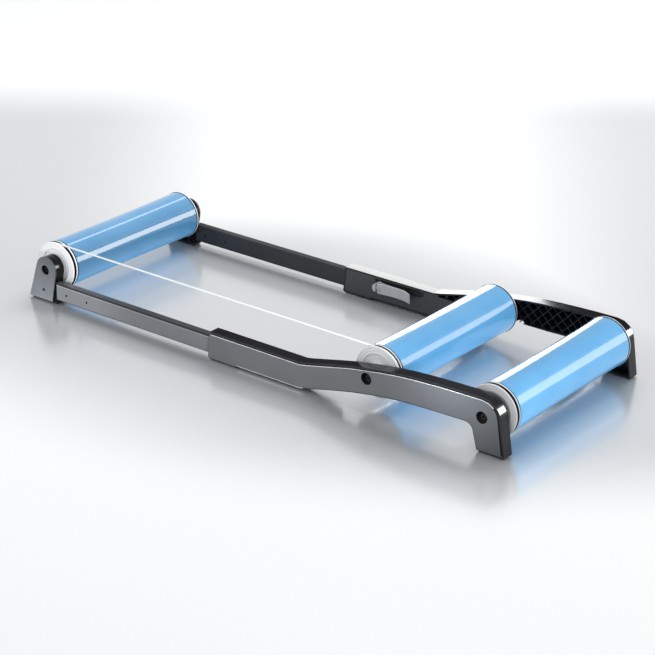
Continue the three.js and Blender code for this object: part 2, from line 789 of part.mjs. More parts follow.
// Bar pin: a cross pin through the bar and the foot's tongue, a little below both faces
const barPin = (x) => crossCylinder(
  barPinRadius, barInnerY + barPinRecess, barOuterY - barPinRecess, x, barPinZ, holeFacets)

// Bar glide: the plastic plug in the bar's inner end
const barGlide = () => {
  const flangeX = barRearX + seatGap
  const flange = barPrism(0, barCorner, flangeX, flangeX + glideFlange)
  const plug = barPrism(plugMargin, plugCorner, barRearX - glideLength, flangeX + glideFlange / 2)
  return shapeSolid(flange, [plug], [])
}

// Front foot outline, anticlockwise from the toe: a sole and an arch joined by straight sides,
// smaller by the given margin all round, except at the sole
const soleRearX = frontEndX + footSoleLength
const footArchX = frontAxleX + footArchShift
const footArchZ = axleHeight + footArchLift
const tangentDegrees = (x, z, radius, side) => {
  const reach = Math.hypot(x - footArchX, z - footArchZ)
  const base = Math.atan2(z - footArchZ, x - footArchX)
  return THREE.MathUtils.radToDeg(base + side * Math.acos(radius / reach))
}
const footOutline = (margin) => {
  const radius = footArchRadius - margin
  const toeX = frontEndX + margin
  const heelX = soleRearX - margin
  const fromDegrees = tangentDegrees(heelX, padHeight, radius, 1)
  const toDegrees = 360 + tangentDegrees(toeX, padHeight, radius, -1)
  const arch = arcPoints(footArchX, footArchZ, radius, fromDegrees, toDegrees, footArchSteps)
  return [[toeX, padHeight], [heelX, padHeight], ...arch]
}

// Front foot plate: the grey outer face, with the axle recess and a small screw hole
const plateScrewX = frontAxleX - plateScrewSetback
const plateScrewHole = (radius, innerY, outerY) => crossCylinder(
  boreRadius(radius, holeFacets), innerY, outerY, plateScrewX, plateScrewHeight, holeFacets)

const footPlate = () => {
  const backY = footPlateInnerY - footPlateThickness
  const slab = sideSlab(polygon(footOutline(0)), backY, footOuterY, footPlateEdge)
  const backTrim = box(frontEndX - overrun, footArchX + footArchRadius + overrun, backY - overrun,
    footPlateInnerY, -overrun, footArchZ + footArchRadius + overrun)
  const outsideY = footOuterY + overrun
  const recess = crossCylinder(
    footRecessRadius, footPlateInnerY - overrun, outsideY, frontAxleX, axleHeight, bearingFacets)
  const screwHole = plateScrewHole(plateScrewRadius + seatGap, footPlateInnerY - overrun, outsideY)
  const sinkY = footOuterY - plateScrewHeadHeight - seatGap
  const sink = plateScrewHole(plateScrewHeadRadius + seatGap, sinkY, outsideY)
  return shapeSolid(slab, [], [backTrim, recess, screwHole, sink])
}

// Front foot body: a black moulding open inboard, with the axle seat and the tongue that plugs the bar
const footBody = () => {
  const outline = footOutline(footBodyInset)
  const slab = sideSlab(polygon(outline), footInnerY, footBodyOuterY)
  const pocket = sideSlab(
    polygon(insetOutline(outline, footWall)), footInnerY - overrun, footInnerY + footPocketDepth)
  const rootFrontX = barFrontX - tongueRootLength
  const root = box(rootFrontX, barFrontX, barInnerY + plugMargin, footBodyOuterY,
    barBottom + plugMargin, barTop - plugMargin)
  const tongue = barPrism(plugMargin, plugCorner, barFrontX - overrun, barFrontX + tongueLength)
  const flange = box(rootFrontX, soleRearX + footFlangeLength, footInnerY, footBodyOuterY,
    padHeight, padHeight + footFlangeHeight)
  const plateRoom = box(frontEndX, barFrontX, footBodyOuterY, footOuterY + overrun, 0, crownTop)
  const screwHole = plateScrewHole(
    plateScrewRadius + bearingPlay, footInnerY - overrun, footBodyOuterY + overrun)
  const cored = shapeSolid(slab, [], [pocket])
  const holes = [plateRoom, ...frontSeat.holes, screwHole, ...barPinXs.map(barPinHole)]
  return shapeSolid(cored, [root, tongue, flange, ...frontSeat.solids], holes)
}

// Plate screw: a small flush screw that holds the plate on the foot body
const plateScrew = () => {
  const topY = footOuterY - seatGap
  const seatY = topY - plateScrewHeadHeight + seatGap
  const profile = [
    [0, -topY],
    [plateScrewHeadRadius, -topY],
    [plateScrewHeadRadius, -seatY],
    [plateScrewRadius, -seatY],
    [plateScrewRadius, plateScrewLength - topY],
    [0, plateScrewLength - topY],
  ]
  const points = profile.map(([radius, y]) => new THREE.Vector2(radius, y))
  return new THREE.LatheGeometry(points, holeFacets).translate(plateScrewX, 0, plateScrewHeight)
}

// Rubber pads under the feet
const frontPad = () => box(frontEndX + padToeInset, soleRearX + footFlangeLength - padInset,
  footInnerY + padInset, footBodyOuterY - seatGap, 0, padHeight)
const rearPad = () => box(rearEndX - rearFootLength + padInset, rearEndX - padInset,
  armInnerY + padInset, armOuterY - padInset, 0, padHeight)

// The whole machine
const rollers = new THREE.Group()
const add = (name, geometry, material) => {
  const mesh = new THREE.Mesh(geometry, material)
  mesh.name = name
  rollers.add(mesh)
}
const addPair = (name, geometry, material) => {
  add(`left_${name}`, geometry, material)
  add(`right_${name}`, mirrored(geometry), material)
}

addPair('arm', arm(), blackPlastic)
addPair('clamp_cover', clampCover(), darkPanel)
addPair('clamp_shoe', clampShoe(), blackPlastic)
addPair('lever_bracket', leverBracket(), castSilver)
addPair('lever_pin', leverPin(), steel)
addPair('lever', lever(), castSilver)
addPair('rear_foot_pad', rearPad(), rubber)

addPair('bar', bar(), barSteel)
addPair('bar_glide', barGlide(), blackPlastic)
addPair('front_foot_body', footBody(), blackPlastic)
addPair('front_foot_plate', footPlate(), greyPlate)
addPair('front_foot_pad', frontPad(), rubber)
addPair('plate_screw', plateScrew(), darkSteel)
addPair('bar_pin_front', barPin(barPinXs[0]), darkSteel)
addPair('bar_pin_rear', barPin(barPinXs[1]), darkSteel)

const drums = [
  ['front', frontAxleX, frontSeat],
  ['middle', middleAxleX, middleSeat],
  ['rear', rearAxleX, rearSeat],
]
for (const [place, x, seat] of drums) {
  add(`${place}_drum_tube`, drumTube(x), drumBlue)
  add(`${place}_drum_pulley_cap`, pulleyCap(x), capGrey)
  add(`${place}_drum_plain_cap`, plainCap(x), capGrey)
  addPair(`${place}_bearing`, bearing(x), steel)
  add(`${place}_axle`, axle(x, seat.floorInnerY - seatGap), steel)
  addPair(`${place}_axle_screw`, socketScrew(x, seat.floorOuterY + seatGap), darkSteel)
}
add('drive_belt', driveBelt(), beltWhite)

export default rollers
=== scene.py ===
import math

import bmesh
import bpy
from mathutils import Matrix, Vector


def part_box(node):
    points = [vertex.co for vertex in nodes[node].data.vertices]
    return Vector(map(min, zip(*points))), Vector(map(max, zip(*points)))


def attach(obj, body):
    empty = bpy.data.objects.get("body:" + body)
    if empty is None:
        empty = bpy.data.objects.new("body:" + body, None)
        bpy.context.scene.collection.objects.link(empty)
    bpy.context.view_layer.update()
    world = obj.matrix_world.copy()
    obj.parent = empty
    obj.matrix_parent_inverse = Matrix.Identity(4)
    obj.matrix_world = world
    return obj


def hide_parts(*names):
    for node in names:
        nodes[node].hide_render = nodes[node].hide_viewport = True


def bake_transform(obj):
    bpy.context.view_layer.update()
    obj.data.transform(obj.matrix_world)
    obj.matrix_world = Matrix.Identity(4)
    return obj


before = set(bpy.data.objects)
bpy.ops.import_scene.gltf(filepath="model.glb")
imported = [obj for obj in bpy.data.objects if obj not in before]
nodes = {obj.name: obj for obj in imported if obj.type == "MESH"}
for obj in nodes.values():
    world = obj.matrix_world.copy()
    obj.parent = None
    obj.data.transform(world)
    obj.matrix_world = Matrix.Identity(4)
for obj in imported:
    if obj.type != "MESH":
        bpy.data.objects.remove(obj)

scene = bpy.context.scene
scene.view_settings.view_transform = "Standard"
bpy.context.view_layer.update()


# Camera. It stands to the near left of the extended machine, a little above it, and looks down along
# the near side arm. A long lens keeps the drums' far ends nearly as large as the near ones.
def standing(place, right, up, back):
    """The place and turn of a camera or a lamp that looks or shines away from its back."""
    return Matrix.Translation(Vector(place)) @ Matrix((right, up, back)).transposed().to_4x4()


camera_place = Vector((2.74874, -3.43278, 1.95964))
camera_turn, camera_tilt, camera_roll = 0.67151, -0.41007, 0.00165
camera_data = bpy.data.cameras.new("camera")
camera_data.sensor_width = 36
camera_data.lens = 116.79
camera_data.shift_y = -0.0188
camera_data.clip_end = 100
camera = bpy.data.objects.new("camera", camera_data)
scene.collection.objects.link(camera)
scene.camera = camera
ahead = Vector((-math.sin(camera_turn) * math.cos(camera_tilt),
                math.cos(camera_turn) * math.cos(camera_tilt), math.sin(camera_tilt)))
level = ahead.cross(Vector((0, 0, 1))).normalized()
above = level.cross(ahead)
camera_right = math.cos(camera_roll) * level + math.sin(camera_roll) * above
camera_up = math.cos(camera_roll) * above - math.sin(camera_roll) * level
camera.matrix_world = standing(camera_place, camera_right, camera_up, -ahead)


# Studio floor: one wide sheet of pale polished board, which mirrors the machine softly. It is white in
# front and far behind, and painted shade makes it greyer on both sides of the machine and just before it.
def new_material(name, colour, roughness, metallic=0.0):
    """A material with its shader's plain values; returns it, its node tree and its shader."""
    material = bpy.data.materials.new(name)
    material.use_nodes = True
    shader = material.node_tree.nodes["Principled BSDF"]
    shader.inputs["Base Color"].default_value = (*colour, 1)
    shader.inputs["Roughness"].default_value = roughness
    shader.inputs["Metallic"].default_value = metallic
    return material, material.node_tree, shader


def new_object(name, shape, materials):
    """Makes a bmesh that is in its final place an object with its materials."""
    mesh = bpy.data.meshes.new(name)
    shape.to_mesh(mesh)
    shape.free()
    for material in materials:
        mesh.materials.append(material)
    made = bpy.data.objects.new(name, mesh)
    scene.collection.objects.link(made)
    return made


floor_size = 60
white_board, painted_shade_board = (0.985, 0.99, 0.995, 1), (0.64, 0.65, 0.665, 1)
slant_right, slant_near, straight_far = (0.78, 0.62, 0), (0.62, -0.78, 0), (0, 1, 0)
floor_finish, floor_tree, floor_shader = new_material("floor_board", (0.97, 0.975, 0.985), 0.2, 0.38)
floor_place = floor_tree.nodes.new("ShaderNodeTexCoord")


def floor_ramp(way, offset, near, far):
    """How far the floor's point lies from offset along a level way, as a smooth share from near to far."""
    reach = floor_tree.nodes.new("ShaderNodeVectorMath")
    reach.operation = "DOT_PRODUCT"
    reach.inputs[1].default_value = way
    floor_tree.links.new(floor_place.outputs["Object"], reach.inputs[0])
    shifted = floor_tree.nodes.new("ShaderNodeMath")
    shifted.operation = "SUBTRACT"
    shifted.inputs[1].default_value = offset
    floor_tree.links.new(reach.outputs["Value"], shifted.inputs[0])
    size = floor_tree.nodes.new("ShaderNodeMath")
    size.operation = "ABSOLUTE"
    floor_tree.links.new(shifted.outputs["Value"], size.inputs[0])
    share = floor_tree.nodes.new("ShaderNodeMapRange")
    share.interpolation_type = "SMOOTHSTEP"
    share.inputs["From Min"].default_value, share.inputs["From Max"].default_value = near, far
    floor_tree.links.new(size.outputs["Value"], share.inputs["Value"])
    return share


def joined(first, second, operation):
    """One share from two: their product, or the larger of them."""
    both = floor_tree.nodes.new("ShaderNodeMath")
    both.operation = operation
    floor_tree.links.new(first.outputs[0], both.inputs[0])
    floor_tree.links.new(second.outputs[0], both.inputs[1])
    return both


# Painted shade: this grey share stands for the machine's shade and dark reflections on the floor beside and
# before it.
side_painted_shade = joined(floor_ramp(slant_right, 0.1, 0.15, 0.85), floor_ramp(slant_near, -0.55, 1.45, 0.95),
                   "MULTIPLY")
side_painted_shade = joined(side_painted_shade, floor_ramp(straight_far, 0.9, 1.75, 1.1), "MULTIPLY")
near_painted_shade = joined(floor_ramp(straight_far, 0, 0.85, 0.35), floor_ramp(slant_near, 0, 0.9, 0.5), "MULTIPLY")
painted_shade_share = joined(side_painted_shade, near_painted_shade, "MAXIMUM")
floor_tone = floor_tree.nodes.new("ShaderNodeValToRGB")
floor_tone.color_ramp.elements[0].color = white_board
floor_tone.color_ramp.elements[1].color = painted_shade_board
floor_tree.links.new(painted_shade_share.outputs[0], floor_tone.inputs["Fac"])
floor_tree.links.new(floor_tone.outputs["Color"], floor_shader.inputs["Base Color"])
shape = bmesh.new()
bmesh.ops.create_grid(shape, x_segments=1, y_segments=1, size=floor_size / 2)
floor = new_object("floor", shape, [floor_finish])


# Studio light: an even pale surround, a broad soft lamp behind the machine, a fill lamp low at its rear,
# soft-edged spots on the near side, a bounce lamp under each drum, and reflector panels that only gloss
# sees. A black cloth behind the machine keeps the glossy tops of the arms dark.
world = bpy.data.worlds.new("studio")
scene.world = world
world.use_nodes = True
world.node_tree.nodes["Background"].inputs["Color"].default_value = (0.975, 0.985, 1.0, 1)
world.node_tree.nodes["Background"].inputs["Strength"].default_value = 0.74


def add_panel(name, place, facing, up, width, height, radiance, gloss_only=True):
    """A flat lamp; facing is the way it shines, and its width runs across up."""
    lamp = bpy.data.lights.new(name, "AREA")
    lamp.shape = "RECTANGLE"
    lamp.size, lamp.size_y = width, height
    lamp.energy = radiance * math.pi * width * height
    panel = bpy.data.objects.new(name, lamp)
    scene.collection.objects.link(panel)
    back = -Vector(facing).normalized()
    across = Vector(up).cross(back).normalized()
    panel.matrix_world = standing(place, across, back.cross(across), back)
    panel.visible_camera = False
    panel.visible_diffuse = not gloss_only
    panel.visible_glossy = gloss_only
    return panel


def add_spot(name, place, target, half_angle, power):
    """A soft-edged round lamp that no gloss sees."""
    lamp = bpy.data.lights.new(name, "SPOT")
    lamp.energy = power
    lamp.spot_size = 2 * math.radians(half_angle)
    lamp.spot_blend = 1.0
    lamp.shadow_soft_size = 0.1
    spot = bpy.data.objects.new(name, lamp)
    scene.collection.objects.link(spot)
    spot.matrix_world = Matrix.Translation(Vector(place)) @ (Vector(target) - Vector(place)).to_track_quat(
        "-Z", "Y").to_matrix().to_4x4()
    spot.visible_camera = spot.visible_glossy = False
    return spot


upright = (0, 0, 1)
soft_place = Vector((-0.5, 2.0, 3.0))
add_panel("soft_lamp", soft_place, -soft_place, upright, 2.6, 1.6, 6.0, gloss_only=False)
fill_place = Vector((2.2, -1.4, 0.3))
fill_lamp = add_panel("fill_lamp", fill_place, Vector((0.2, 0, 0.1)) - fill_place, upright, 0.8, 0.8, 30.0,
                      gloss_only=False)
sleeve_spot = add_spot("sleeve_spot", (0.05, -2.6, 1.3), (0.05, -0.258, 0.06), 13.2, 240)
crown_spot = add_spot("crown_spot", (0.545, -1.9, 1.2), (0.545, -0.258, 0.205), 4.4, 540)
crown_spot.data.color = (0.88, 0.93, 1.0)
foot_spot = add_spot("foot_spot", (-0.6, -1.6, 0.6), (-0.63, -0.258, -0.02), 4.6, 600)
bar_spot = add_spot("bar_spot", (-0.6, -1.6, 0.6), (-0.55, -0.258, -0.05), 8.5, 75)
cap_spot = add_spot("cap_spot", (-0.6, -1.6, 0.6), (-0.62, -0.22, 0.09), 8.5, 26)
middle_cap_spot = add_spot("middle_cap_spot", (0.33, -1.8, 1.0), (0.33, -0.22, 0.12), 4.5, 30)
rear_cap_spot = add_spot("rear_cap_spot", (0.62, -1.8, 1.0), (0.62, -0.22, 0.14), 2.2, 30)
drum_places = {"front": -0.619, "middle": 0.328, "rear": 0.619}
axle_height = 0.08
bounce_lamps = {}
for place, lamp_place, radiance in (("front", (-0.45, -0.3, -1.1), 7.5), ("middle", (1.1, -0.3, -0.8), 10.0),
                                    ("rear", (1.0, -0.3, -1.1), 5.0)):
    bounce_way = Vector((drum_places[place], 0, axle_height)) - Vector(lamp_place)
    bounce_lamps[place] = add_panel(f"{place}_bounce_lamp", lamp_place, bounce_way, (0, 1, 0), 0.8, 0.8,
                                    radiance, gloss_only=False)
streak_rise = math.radians(18)
streak_facing = (-math.cos(streak_rise), 0, -math.sin(streak_rise))
streak_up = (math.sin(streak_rise), 0, -math.cos(streak_rise))
streak_place, streak_width, streak_height = (2.85, 3.0, 1.0), 3.4, 1.5
streak_panel = add_panel("streak_panel", streak_place, streak_facing, streak_up, streak_width, streak_height,
                         4.4)
streak_panel.data.color = (1.0, 0.88, 0.7)
front_streak_panel = add_panel("front_streak_panel", streak_place, streak_facing, streak_up, streak_width,
                               streak_height, 9.0)
front_streak_panel.data.color = (1.0, 0.93, 0.8)
glint_panel = add_panel("glint_panel", streak_place, streak_facing, streak_up, streak_width, streak_height,
                        29.0)
to_near_side = (0, -1, 0)
rim_panel = add_panel("rim_panel", (-1.95, 2.2, 0.675), to_near_side, upright, 2.1, 1.35, 6.0)
line_panel = add_panel("line_panel", (-0.87, 1.15, 1.22), (0.46, 0, -0.89), (0.89, 0, 0.46), 1.5, 0.2, 4.5)
haze_place, haze_width, haze_height = (-3.3, 4.3, 3.5), 13, 7
haze_panel = add_panel("haze_panel", haze_place, to_near_side, upright, haze_width, haze_height, 0.5)
front_haze_panel = add_panel("front_haze_panel", haze_place, to_near_side, upright, haze_width, haze_height,
                             0.9)
floor_panel = add_panel("floor_panel", (-3.3, 4.4, 3.5), to_near_side, upright, haze_width, haze_height, 0.9)

flag_finish = new_material("black_cloth", (0.01, 0.01, 0.012), 0.9)[0]
shape = bmesh.new()
bmesh.ops.create_grid(shape, x_segments=1, y_segments=1, size=0.5)
bmesh.ops.transform(shape, verts=shape.verts, matrix=Matrix.Translation((-3.3, 4.5, 3.5))
                    @ Matrix.Rotation(math.pi / 2, 4, "X") @ Matrix.Diagonal((haze_width, haze_height, 1, 1)))
flag = new_object("flag", shape, [flag_finish])
flag.visible_camera = flag.visible_diffuse = flag.visible_shadow = False


# Drum tubes: thin aluminium tubes drawn in to a waist and stove-enamelled light blue under a clear
# coat. Each is pressed on the spigots of its two end caps.
drum_face = 0.2185
pulley_cap_width, plain_cap_width = 0.019, 0.0055
tube_length = 2 * drum_face - pulley_cap_width - plain_cap_width
tube_middle = (pulley_cap_width - plain_cap_width) / 2
waist_radius, tube_end_radius, tube_wall = 0.055, 0.057, 0.002
tube_stations, turn_steps = 40, 128


def new_group(name, inputs, outputs):
    """A shader node group with named sockets; returns it with its inner input and output nodes."""
    group = bpy.data.node_groups.new(name, "ShaderNodeTree")
    for label, kind, value in inputs:
        socket = group.interface.new_socket(label, in_out="INPUT", socket_type=kind)
        if value is not None:
            socket.default_value = value
    for label, kind in outputs:
        group.interface.new_socket(label, in_out="OUTPUT", socket_type=kind)
    return group, group.nodes.new("NodeGroupInput"), group.nodes.new("NodeGroupOutput")


def join(tree, start, label, end, socket):
    """Links a node's named output to another node's input."""
    tree.links.new(start.outputs[label], end.inputs[socket])


# Broad soft patches and a fine grain, as every coated or moulded surface has.
surface_grain, entry, leave = new_group(
    "surface_grain",
    [("Place", "NodeSocketVector", None), ("Patch Scale", "NodeSocketFloat", 12.0),
     ("Grain Scale", "NodeSocketFloat", 1500.0)],
    [("Patches", "NodeSocketFloat"), ("Grain", "NodeSocketFloat")])
patches = surface_grain.nodes.new("ShaderNodeTexNoise")
patches.inputs["Detail"].default_value = 3
join(surface_grain, entry, "Place", patches, "Vector")
join(surface_grain, entry, "Patch Scale", patches, "Scale")
spread = surface_grain.nodes.new("ShaderNodeMapRange")
spread.inputs["From Min"].default_value, spread.inputs["From Max"].default_value = 0.33, 0.67
join(surface_grain, patches, "Fac", spread, "Value")
join(surface_grain, spread, "Result", leave, "Patches")
grain = surface_grain.nodes.new("ShaderNodeTexNoise")
grain.inputs["Detail"].default_value = 2
join(surface_grain, entry, "Place", grain, "Vector")
join(surface_grain, entry, "Grain Scale", grain, "Scale")
join(surface_grain, grain, "Fac", leave, "Grain")


def grained(name, darker, lighter, roughness, patch_scale, grain_scale, grain_height, metallic=0.0,
            specular=0.5):
    """A finish between two tones, with its roughness between two values and a fine raised grain."""
    material, tree, shader = new_material(name, lighter, roughness[0], metallic)
    shader.inputs["Specular IOR Level"].default_value = specular
    place = tree.nodes.new("ShaderNodeTexCoord")
    skin = tree.nodes.new("ShaderNodeGroup")
    skin.node_tree = surface_grain
    skin.inputs["Patch Scale"].default_value = patch_scale
    skin.inputs["Grain Scale"].default_value = grain_scale
    join(tree, place, "Object", skin, "Place")
    tone = tree.nodes.new("ShaderNodeValToRGB")
    tone.color_ramp.elements[0].color = (*darker, 1)
    tone.color_ramp.elements[1].color = (*lighter, 1)
    join(tree, skin, "Patches", tone, "Fac")
    join(tree, tone, "Color", shader, "Base Color")
    gloss = tree.nodes.new("ShaderNodeMapRange")
    gloss.inputs["To Min"].default_value, gloss.inputs["To Max"].default_value = roughness
    join(tree, skin, "Patches", gloss, "Value")
    join(tree, gloss, "Result", shader, "Roughness")
    bump = tree.nodes.new("ShaderNodeBump")
    bump.inputs["Distance"].default_value = grain_height
    join(tree, skin, "Grain", bump, "Height")
    join(tree, bump, "Normal", shader, "Normal")
    return material


def make_piece(name, shape, materials, body, node_name, smooth_below=32, weighted=False):
    """Turns a bmesh into a piece that rides on a body and stands for a CAD node."""
    for face in shape.faces:
        face.smooth = True
    for edge in shape.edges:
        edge.smooth = not edge.is_manifold or edge.calc_face_angle() < math.radians(smooth_below)
    piece = new_object(name, shape, materials)
    if weighted:
        keeper = piece.modifiers.new("flat_faces_stay_flat", "WEIGHTED_NORMAL")
        keeper.keep_sharp = True
    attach(piece, body)
    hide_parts(node_name)


def half_section(points, closed=False):
    """A bmesh with the points of a half section joined into a line, or into a ring."""
    shape = bmesh.new()
    corners = [shape.verts.new(point) for point in points]
    for first, second in zip(corners, corners[1:] + (corners[:1] if closed else [])):
        shape.edges.new((first, second))
    return shape, corners


def spin_round(shape, centre, axis, steps):
    """Spins a half section once round an axis and closes it into one skin."""
    bmesh.ops.spin(shape, geom=shape.verts[:] + shape.edges[:], cent=centre, axis=axis, angle=2 * math.pi,
                   steps=steps, use_merge=True, use_duplicate=False)
    bmesh.ops.remove_doubles(shape, verts=shape.verts, dist=1e-7)
    bmesh.ops.recalc_face_normals(shape, faces=shape.faces)


def turned(profile, x, round_radius=0.0, steps=turn_steps):
    """A ring of (radius, y) points, eased at its corners and spun about a drum's axle."""
    shape, corners = half_section([(x + radius, y, axle_height) for radius, y in profile], closed=True)
    if round_radius:
        bmesh.ops.bevel(shape, geom=corners, offset=round_radius, offset_type="OFFSET", segments=2,
                        profile=0.5, affect="VERTICES", clamp_overlap=True, material=-1)
    spin_round(shape, (x, 0, axle_height), (0, 1, 0), steps)
    return shape


def tube_radius(distance):
    """The tube's outer radius at a distance from its middle, where it is drawn in most."""
    share = distance / (tube_length / 2)
    return waist_radius + (tube_end_radius - waist_radius) * share * share


drum_coat = grained("light_blue_enamel", (0.092, 0.315, 0.575), (0.112, 0.345, 0.61), (0.32, 0.38), 9, 260,
                    0.000002, specular=0.1)
clear_coat = drum_coat.node_tree.nodes["Principled BSDF"].inputs
clear_coat["Coat Weight"].default_value = 1.0
clear_coat["Coat Roughness"].default_value = 0.03
for place, x in drum_places.items():
    outer = []
    for i in range(tube_stations + 1):
        distance = tube_length * (i / tube_stations - 0.5)
        outer.append((tube_radius(distance), tube_middle + distance))
    inner = [(radius - tube_wall, y) for radius, y in reversed(outer)]
    make_piece(f"{place}_drum_coated_tube", turned(outer + inner, x), [drum_coat], f"{place}_drum",
               f"{place}_drum_tube")


# Drum end caps: pale grey mouldings with a broad rim and a hub for the bearing, turned true after
# moulding. The left one has the belt's groove between two flanges. That groove and the gap behind each
# flange, before the tube starts, are coloured near black as painted shade.
flange_radius, shadow_radius = 0.058, 0.0555
groove_floor_radius, groove_mouth, groove_floor_width = 0.0517, 0.0075, 0.0046
pulley_flange = 0.0035
pulley_shadow, plain_shadow = 0.0045, 0.0025
spigot_radius, spigot_length, rim_wall, web, hub_depth = 0.054, 0.010, 0.006, 0.007, 0.011
hub_radius, bearing_seat_radius, rim_inner_radius = 0.021, 0.01415, 0.05

# Fine lines round an axle, which follow the radius on flat faces and the length on barrels.
lathe_lines, entry, leave = new_group(
    "lathe_lines",
    [("Place", "NodeSocketVector", None), ("Axle", "NodeSocketVector", None),
     ("Lines Per Metre", "NodeSocketFloat", 800.0)],
    [("Lines", "NodeSocketFloat"), ("Rings", "NodeSocketFloat")])
from_axle = lathe_lines.nodes.new("ShaderNodeVectorMath")
from_axle.operation = "SUBTRACT"
join(lathe_lines, entry, "Place", from_axle, 0)
join(lathe_lines, entry, "Axle", from_axle, 1)
across_axle = lathe_lines.nodes.new("ShaderNodeVectorMath")
across_axle.operation = "MULTIPLY"
across_axle.inputs[1].default_value = (1, 0, 1)
join(lathe_lines, from_axle, "Vector", across_axle, 0)
radius_node = lathe_lines.nodes.new("ShaderNodeVectorMath")
radius_node.operation = "LENGTH"
join(lathe_lines, across_axle, "Vector", radius_node, 0)
parts = lathe_lines.nodes.new("ShaderNodeSeparateXYZ")
join(lathe_lines, from_axle, "Vector", parts, 0)
along = lathe_lines.nodes.new("ShaderNodeMath")
join(lathe_lines, radius_node, "Value", along, 0)
join(lathe_lines, parts, "Y", along, 1)
for label, share in (("Lines", 1.0), ("Rings", 0.22)):
    pitch = lathe_lines.nodes.new("ShaderNodeMath")
    pitch.operation = "MULTIPLY"
    pitch.inputs[1].default_value = share
    join(lathe_lines, entry, "Lines Per Metre", pitch, 0)
    lines = lathe_lines.nodes.new("ShaderNodeTexNoise")
    lines.noise_dimensions = "1D"
    lines.inputs["Detail"].default_value = 2
    join(lathe_lines, along, "Value", lines, "W")
    join(lathe_lines, pitch, "Value", lines, "Scale")
    join(lathe_lines, lines, "Fac", leave, label)


def lathed(name, darker, lighter, roughness, axle_x, lines_per_metre, line_height, metallic=0.0):
    """A finish turned about an axle: faint tone rings, and fine raised lines that catch the light."""
    material, tree, shader = new_material(name, lighter, roughness[0], metallic)
    place = tree.nodes.new("ShaderNodeTexCoord")
    lines = tree.nodes.new("ShaderNodeGroup")
    lines.node_tree = lathe_lines
    lines.inputs["Axle"].default_value = (axle_x, 0, axle_height)
    lines.inputs["Lines Per Metre"].default_value = lines_per_metre
    join(tree, place, "Object", lines, "Place")
    tone = tree.nodes.new("ShaderNodeValToRGB")
    tone.color_ramp.elements[0].position, tone.color_ramp.elements[1].position = 0.35, 0.65
    tone.color_ramp.elements[0].color = (*darker, 1)
    tone.color_ramp.elements[1].color = (*lighter, 1)
    join(tree, lines, "Rings", tone, "Fac")
    join(tree, tone, "Color", shader, "Base Color")
    gloss = tree.nodes.new("ShaderNodeMapRange")
    gloss.inputs["From Min"].default_value, gloss.inputs["From Max"].default_value = 0.3, 0.7
    gloss.inputs["To Min"].default_value, gloss.inputs["To Max"].default_value = roughness
    join(tree, lines, "Lines", gloss, "Value")
    join(tree, gloss, "Result", shader, "Roughness")
    bump = tree.nodes.new("ShaderNodeBump")
    bump.inputs["Distance"].default_value = line_height
    join(tree, lines, "Lines", bump, "Height")
    join(tree, bump, "Normal", shader, "Normal")
    return material


# Near-black painted shade for the belt groove and the gap behind each flange.
cap_painted_shade = grained("painted_shade_cap_ring", (0.010, 0.010, 0.012), (0.016, 0.016, 0.018), (0.2, 0.3), 40, 1500, 0.00001)
cap_pales = {place: lathed(f"pale_{place}_cap_moulding", (0.80, 0.81, 0.825), (0.90, 0.91, 0.92), (0.22, 0.36),
                           x, 900, 0.00006) for place, x in drum_places.items()}

# The outer face from the bearing out: the hub, a shallow dish, and two fine turned lines in the broad rim.
face_profile = [(bearing_seat_radius, 0.001), (hub_radius, 0.001), (0.023, 0.003), (0.0400, 0.003), (0.0420, 0),
                (0.0470, 0), (0.0474, 0.0005), (0.0478, 0), (0.0538, 0), (0.0542, 0.0005), (0.0546, 0),
                (0.0572, 0), (flange_radius, 0.0008)]


def cap_back(width, shadow):
    """The rest of a cap's section: the dark ring, the spigot in the tube, the web and the hub's inner end."""
    return [(flange_radius, width - shadow), (shadow_radius, width - shadow), (shadow_radius, width),
            (spigot_radius, width), (spigot_radius, width + spigot_length),
            (spigot_radius - rim_wall, width + spigot_length), (spigot_radius - rim_wall, web),
            (hub_radius, web), (hub_radius, hub_depth), (bearing_seat_radius, hub_depth)]


groove_middle = pulley_flange + groove_mouth / 2
groove_profile = [(flange_radius, pulley_flange), (groove_floor_radius, groove_middle - groove_floor_width / 2),
                  (groove_floor_radius, groove_middle + groove_floor_width / 2),
                  (flange_radius, pulley_flange + groove_mouth)]


def make_cap(name, place, profile, side, width, shadow, node, groove):
    """Turns one cap from its section; its belt groove and the gap behind its flange get the painted shade."""
    x = drum_places[place]
    shape = turned([(radius, side * (drum_face - depth)) for radius, depth in profile], x, 0.0004)
    for face in shape.faces:
        middle = face.calc_center_median()
        depth = drum_face - side * middle.y
        radius = math.hypot(middle.x - x, middle.z - axle_height)
        in_groove = groove and pulley_flange < depth < pulley_flange + groove_mouth
        in_shadow = width - shadow < depth < width + 0.001
        face.material_index = 1 if radius > rim_inner_radius and (in_groove or in_shadow) else 0
    make_piece(name, shape, [cap_pales[place], cap_painted_shade], f"{place}_drum", node)


for place in drum_places:
    make_cap(f"{place}_drum_grooved_cap", place, face_profile + groove_profile + cap_back(
        pulley_cap_width, pulley_shadow), -1, pulley_cap_width, pulley_shadow, f"{place}_drum_pulley_cap", True)
    make_cap(f"{place}_drum_end_cap", place, face_profile + cap_back(plain_cap_width, plain_shadow), 1,
             plain_cap_width, plain_shadow, f"{place}_drum_plain_cap", False)


